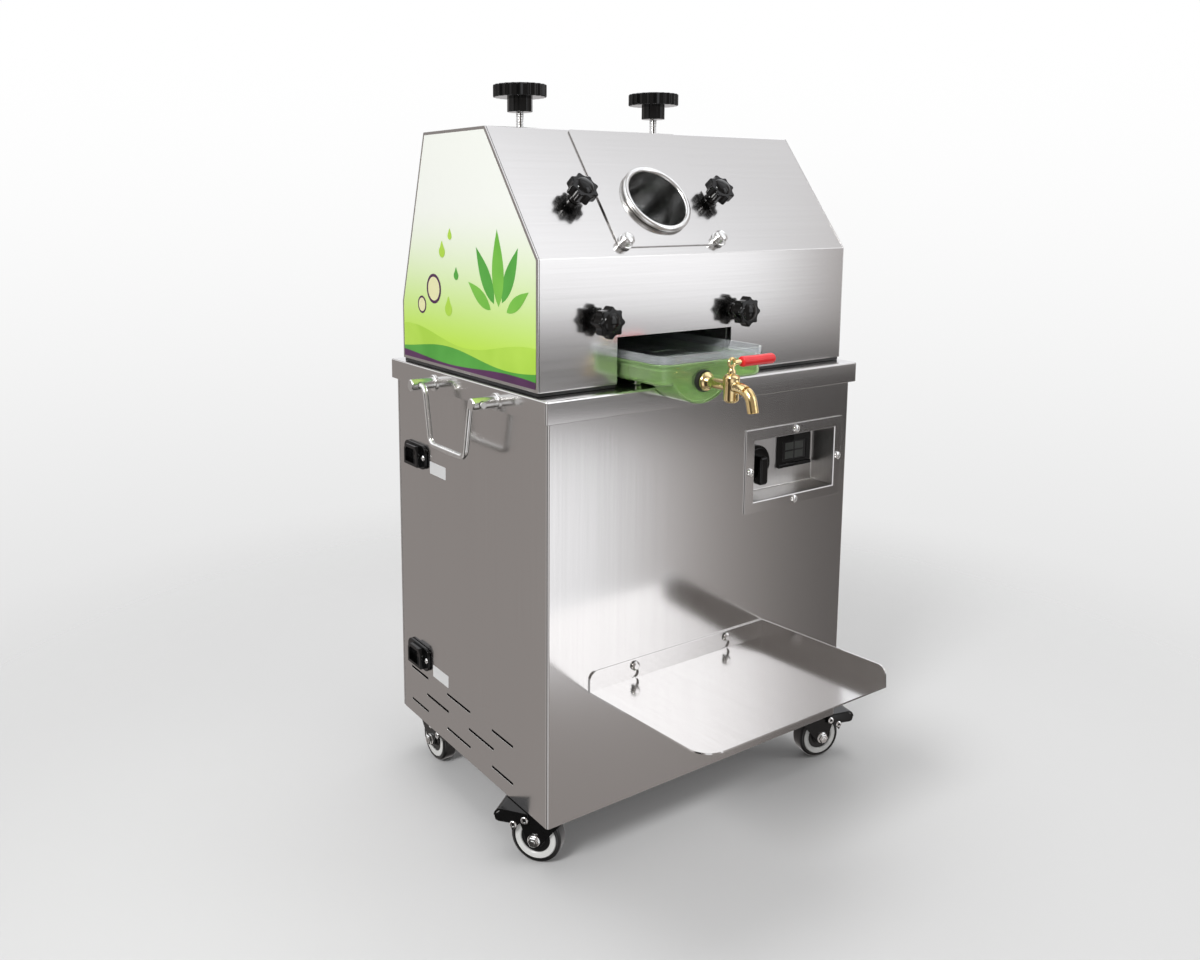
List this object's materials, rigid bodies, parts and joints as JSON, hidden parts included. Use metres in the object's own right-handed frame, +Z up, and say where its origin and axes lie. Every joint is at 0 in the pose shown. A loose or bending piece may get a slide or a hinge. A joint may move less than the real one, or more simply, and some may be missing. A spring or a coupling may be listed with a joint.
{
  "type": "electric sugarcane juicer",
  "caption": "Roller juicer on a castered stainless cabinet: hooded mill, angled feed tube, drawer tub with tap, hung jug shelf, drop handles and a recessed switch panel.",
  "frame": {"origin": "centre of the cabinet floor panel's underside, which the casters bolt to", "axes": "+Z up, -Y towards the front with the tap and shelf, +X to the right as seen from the front"},
  "size_m": [0.456, 0.4508, 0.735],
  "materials": {
    "stainless": "brushed stainless sheet",
    "machined_steel": "machined steel",
    "chrome": "bright polished",
    "brass": "polished brass",
    "bronze": "plain bearing bronze",
    "black_gloss": "glossy black moulding",
    "black_paint": "black painted steel",
    "black_rubber": "black rubber",
    "wheel_rubber": "black caster wheel",
    "red_sleeve": "red dipped sleeve",
    "grey_paint": "grey painted casting",
    "battery_case": "dark battery case",
    "green_clear": "clear green-tinted tub",
    "clear": "clear strainer tray"
  },
  "bodies": {
    "frame": {"cabinet_shell": "stainless", "cabinet_back_panel": "stainless", "cabinet_floor": "machined_steel", "top_plate": "stainless", "hood_gasket": "black_rubber", "hood_shell": "stainless", "hood_side_left": "stainless", "hood_side_right": "stainless", "feed_cover": "stainless", "feed_tube": "chrome", "mill_side_left": "machined_steel", "mill_side_right": "machined_steel", "gear_motor": "grey_paint", "bagasse_chute": "stainless", "power_inlet_lower": "black_gloss", "power_inlet_upper": "black_gloss", "control_recess": "stainless", "battery_meter": "black_gloss", "battery": "battery_case", "caster_front_left_head": "machined_steel", "caster_front_right_head": "machined_steel", "caster_rear_left_head": "machined_steel", "caster_rear_right_head": "machined_steel"},
    "bearing_carriage": {"bearing_block_left": "bronze", "bearing_block_right": "bronze"},
    "left_handwheel": {"tension_handwheel_left": "black_gloss"},
    "right_handwheel": {"tension_handwheel_right": "black_gloss"},
    "top_roller_shaft": {"top_roller": "machined_steel", "top_gear": "machined_steel"},
    "front_roller_shaft": {"front_roller": "machined_steel", "front_gear": "machined_steel"},
    "rear_roller_shaft": {"rear_roller": "machined_steel", "rear_gear": "machined_steel"},
    "juice_tub_set": {"juice_tub": "green_clear", "tap_washer": "black_rubber", "tap_body": "brass", "tap_nut": "black_gloss"},
    "strainer": {"strainer_tray": "clear"},
    "tap_lever": {"tap_key": "brass", "tap_grip": "red_sleeve"},
    "shelf": {"jug_shelf": "stainless"},
    "left_bail": {"handle_left": "chrome"},
    "right_bail": {"handle_right": "chrome"},
    "switch_knob": {"switch_handle": "black_gloss"},
    "left_upper_star_knob": {"upper_knob_left": "black_gloss"},
    "left_lower_star_knob": {"lower_knob_left": "black_gloss"},
    "right_upper_star_knob": {"upper_knob_right": "black_gloss"},
    "right_lower_star_knob": {"lower_knob_right": "black_gloss"},
    "front_left_caster_fork": {"caster_front_left_fork": "black_paint"},
    "front_left_caster_wheel": {"caster_front_left_wheel": "wheel_rubber"},
    "front_left_caster_pedal": {"caster_front_left_pedal": "black_paint"},
    "front_right_caster_fork": {"caster_front_right_fork": "black_paint"},
    "front_right_caster_wheel": {"caster_front_right_wheel": "wheel_rubber"},
    "front_right_caster_pedal": {"caster_front_right_pedal": "black_paint"},
    "rear_left_caster_fork": {"caster_rear_left_fork": "black_paint"},
    "rear_left_caster_wheel": {"caster_rear_left_wheel": "wheel_rubber"},
    "rear_left_caster_pedal": {"caster_rear_left_pedal": "black_paint"},
    "rear_right_caster_fork": {"caster_rear_right_fork": "black_paint"},
    "rear_right_caster_wheel": {"caster_rear_right_wheel": "wheel_rubber"},
    "rear_right_caster_pedal": {"caster_rear_right_pedal": "black_paint"}
  },
  "joints": [
    {"name": "left_upper_knob_turn", "type": "hinge", "parent": "frame", "child": "left_upper_star_knob", "pos_m": [-0.129, -0.09181, 0.55936], "axis": [0, -0.8025, 0.5967], "continuous": true},
    {"name": "left_lower_knob_turn", "type": "hinge", "parent": "frame", "child": "left_lower_star_knob", "pos_m": [-0.129, -0.13, 0.451], "axis": [0, -1, 0], "continuous": true},
    {"name": "right_upper_knob_turn", "type": "hinge", "parent": "frame", "child": "right_upper_star_knob", "pos_m": [0.039, -0.09181, 0.55936], "axis": [0, -0.8025, 0.5967], "continuous": true},
    {"name": "right_lower_knob_turn", "type": "hinge", "parent": "frame", "child": "right_lower_star_knob", "pos_m": [0.039, -0.13, 0.451], "axis": [0, -1, 0], "continuous": true},
    {"name": "bearing_carriage_lift", "type": "slide", "parent": "frame", "child": "bearing_carriage", "axis": [0, 0, 1], "range_m": [-0.0015, 0.0015]},
    {"name": "left_handwheel_turn", "type": "hinge", "parent": "bearing_carriage", "child": "left_handwheel", "pos_m": [-0.129, 0, 0.66], "axis": [0, 0, 1], "range_deg": [-360, 360]},
    {"name": "right_handwheel_turn", "type": "hinge", "parent": "bearing_carriage", "child": "right_handwheel", "pos_m": [0.039, 0, 0.66], "axis": [0, 0, 1], "range_deg": [-360, 360]},
    {"name": "rear_roller_spin", "type": "hinge", "parent": "frame", "child": "rear_roller_shaft", "pos_m": [-0.045, 0.037, 0.465], "axis": [1, 0, 0], "continuous": true},
    {"name": "top_roller_spin", "type": "hinge", "parent": "bearing_carriage", "child": "top_roller_shaft", "pos_m": [-0.045, 0, 0.51965], "axis": [1, 0, 0], "continuous": true},
    {"name": "front_roller_spin", "type": "hinge", "parent": "frame", "child": "front_roller_shaft", "pos_m": [-0.045, -0.037, 0.465], "axis": [1, 0, 0], "continuous": true},
    {"name": "juice_tub_pull", "type": "slide", "parent": "frame", "child": "juice_tub_set", "axis": [0, -1, 0], "range_m": [0, 0.24]},
    {"name": "strainer_lift", "type": "slide", "parent": "juice_tub_set", "child": "strainer", "axis": [0, 0, 1], "range_m": [0, 0.008]},
    {"name": "tap_lever_turn", "type": "hinge", "parent": "juice_tub_set", "child": "tap_lever", "pos_m": [-0.053, -0.221, 0.418], "axis": [0, 0, 1], "range_deg": [-90, 0]},
    {"name": "left_bail_swing", "type": "hinge", "parent": "frame", "child": "left_bail", "pos_m": [-0.218, -0.008, 0.375], "axis": [0, 1, 0], "range_deg": [-15, 100]},
    {"name": "right_bail_swing", "type": "hinge", "parent": "frame", "child": "right_bail", "pos_m": [0.218, -0.008, 0.375], "axis": [0, -1, 0], "range_deg": [-15, 100]},
    {"name": "jug_shelf_unhook", "type": "slide", "parent": "frame", "child": "shelf", "axis": [0, 0, 1], "range_m": [0, 0.007]},
    {"name": "switch_turn", "type": "hinge", "parent": "frame", "child": "switch_knob", "pos_m": [0.0816, -0.113, 0.2885], "axis": [0, -1, 0], "range_deg": [-45, 45]},
    {"name": "front_left_caster_swivel", "type": "hinge", "parent": "frame", "child": "front_left_caster_fork", "pos_m": [-0.17, -0.122, 0], "axis": [0, 0, 1], "continuous": true},
    {"name": "front_left_caster_roll", "type": "hinge", "parent": "front_left_caster_fork", "child": "front_left_caster_wheel", "pos_m": [-0.17999, -0.10825, -0.04], "axis": [-0.809, -0.5878, 0], "continuous": true},
    {"name": "front_left_caster_brake", "type": "hinge", "parent": "front_left_caster_fork", "child": "front_left_caster_pedal", "pos_m": [-0.18469, -0.10178, -0.019], "axis": [-0.809, -0.5878, 0], "range_deg": [0, 12]},
    {"name": "front_right_caster_swivel", "type": "hinge", "parent": "frame", "child": "front_right_caster_fork", "pos_m": [0.17, -0.122, 0], "axis": [0, 0, 1], "continuous": true},
    {"name": "front_right_caster_roll", "type": "hinge", "parent": "front_right_caster_fork", "child": "front_right_caster_wheel", "pos_m": [0.18656, -0.12582, -0.04], "axis": [0.225, 0.9744, 0], "continuous": true},
    {"name": "front_right_caster_brake", "type": "hinge", "parent": "front_right_caster_fork", "child": "front_right_caster_pedal", "pos_m": [0.19436, -0.12762, -0.019], "axis": [0.225, 0.9744, 0], "range_deg": [0, 12]},
    {"name": "rear_left_caster_swivel", "type": "hinge", "parent": "frame", "child": "rear_left_caster_fork", "pos_m": [-0.17, 0.122, 0], "axis": [0, 0, 1], "continuous": true},
    {"name": "rear_left_caster_roll", "type": "hinge", "parent": "rear_left_caster_fork", "child": "rear_left_caster_wheel", "pos_m": [-0.17, 0.105, -0.04], "axis": [1, 0, 0], "continuous": true},
    {"name": "rear_left_caster_brake", "type": "hinge", "parent": "rear_left_caster_fork", "child": "rear_left_caster_pedal", "pos_m": [-0.17, 0.097, -0.019], "axis": [1, 0, 0], "range_deg": [0, 12]},
    {"name": "rear_right_caster_swivel", "type": "hinge", "parent": "frame", "child": "rear_right_caster_fork", "pos_m": [0.17, 0.122, 0], "axis": [0, 0, 1], "continuous": true},
    {"name": "rear_right_caster_roll", "type": "hinge", "parent": "rear_right_caster_fork", "child": "rear_right_caster_wheel", "pos_m": [0.1785, 0.10728, -0.04], "axis": [0.866, 0.5, 0], "continuous": true},
    {"name": "rear_right_caster_brake", "type": "hinge", "parent": "rear_right_caster_fork", "child": "rear_right_caster_pedal", "pos_m": [0.1825, 0.10035, -0.019], "axis": [0.866, 0.5, 0], "range_deg": [0, 12]}
  ],
  "couplings": [
    {"joint": "left_handwheel_turn", "follows": "bearing_carriage_lift", "rad_per_m": 4188.8},
    {"joint": "right_handwheel_turn", "follows": "bearing_carriage_lift", "rad_per_m": 4188.8},
    {"joint": "top_roller_spin", "follows": "rear_roller_spin", "ratio": -1},
    {"joint": "front_roller_spin", "follows": "rear_roller_spin", "ratio": 1}
  ]
}
